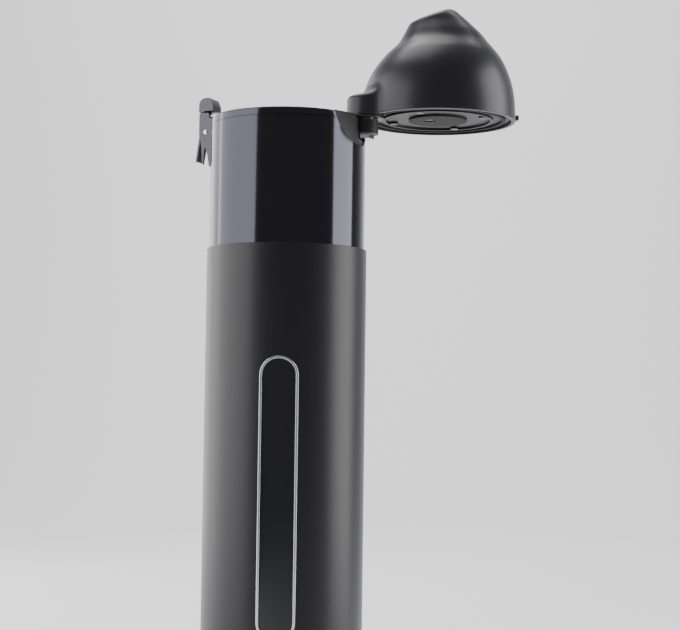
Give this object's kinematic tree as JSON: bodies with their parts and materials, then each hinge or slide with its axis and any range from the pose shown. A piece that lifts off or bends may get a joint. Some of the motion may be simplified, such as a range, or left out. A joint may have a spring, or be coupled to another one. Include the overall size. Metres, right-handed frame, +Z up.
{
  "type": "soda carbonator",
  "caption": "Slim round carbonator tower with a tall sight window, glossy collar, side-swinging domed lid and a draw latch.",
  "frame": {"origin": "middle of the ground under the tower, which is the middle of the foot ring's lower face", "axes": "+Z up along the tower's axis, -Y towards the front where the sight window is, +X to the side the lid swings to"},
  "size_m": [0.2136, 0.1118, 0.5008],
  "materials": {
    "housing_satin": "satin charcoal powder coat",
    "lid_satin": "satin charcoal powder coat",
    "collar_gloss": "polished black nickel plate",
    "bright_metal": "polished",
    "latch_metal": "dark satin plate",
    "window_glass": "smoked, polished",
    "clear_flask": "clear",
    "black_plastic": "fine grain",
    "rubber": "matt",
    "plain_steel": "drawn",
    "black_steel": "blackened",
    "brass": "turned"
  },
  "bodies": {
    "housing": {"foot_ring": "rubber", "base_plate": "black_plastic", "gas_valve_block": "brass", "gas_nozzle": "brass", "dock_plate": "black_plastic", "dock_screws": "plain_steel", "body_sleeve": "housing_satin", "window_bezel": "bright_metal", "window_lens": "window_glass", "coupler_ring": "black_plastic", "collar_sleeve": "collar_gloss", "mouth_ring": "collar_gloss", "guide_tube": "black_plastic", "flask_pad": "rubber", "hinge_block": "black_plastic", "hinge_nut": "bright_metal", "hinge_pin": "bright_metal", "hinge_washer": "brass", "latch_base": "latch_metal", "latch_screws": "latch_metal", "latch_pin": "bright_metal"},
    "lid": {"lid_dome": "lid_satin", "hinge_bush": "brass", "lid_plate": "black_plastic", "lid_screws": "black_steel", "lid_gasket": "rubber", "flask_stopper": "rubber", "relief_valve": "brass", "relief_spring": "plain_steel", "latch_keeper": "latch_metal", "keeper_screw": "latch_metal"},
    "relief": {"relief_button": "lid_satin", "relief_stem": "black_steel"},
    "lever": {"latch_lever": "latch_metal", "link_pin": "bright_metal"},
    "hook": {"latch_hook": "latch_metal"},
    "flask": {"flask": "clear_flask"},
    "cap": {"base_cap": "black_plastic", "gas_cartridge": "plain_steel"}
  },
  "joints": [
    {"name": "lid_swing", "type": "hinge", "parent": "housing", "child": "lid", "pos_m": [0.04997, -0.01062, 0.4258], "axis": [0, 0, 1], "range_deg": [0, 145]},
    {"name": "relief_press", "type": "slide", "parent": "lid", "child": "relief", "axis": [0, 0, -1], "range_m": [0, 0.003], "stiffness_N_per_m": 1500, "springref_m": -0.002, "deforming": ["relief_spring"]},
    {"name": "latch_turn", "type": "hinge", "parent": "housing", "child": "lever", "pos_m": [-0.05356, 0.01949, 0.4192], "axis": [0.342, 0.9397, 0], "range_deg": [0, 90]},
    {"name": "hook_turn", "type": "hinge", "parent": "lever", "child": "hook", "pos_m": [-0.05657, 0.02059, 0.4179], "axis": [0.342, 0.9397, 0], "range_deg": [-117, 0]},
    {"name": "flask_lift", "type": "slide", "parent": "housing", "child": "flask", "axis": [0, 0, -1], "range_m": [-0.335, 0]},
    {"name": "cap_turn", "type": "hinge", "parent": "housing", "child": "cap", "pos_m": [0, 0, 0.003], "axis": [0, 0, 1], "range_deg": [0, 60]}
  ],
  "couplings": [
    {"joint": "hook_turn", "follows": "latch_turn", "ratio": -1.3}
  ]
}
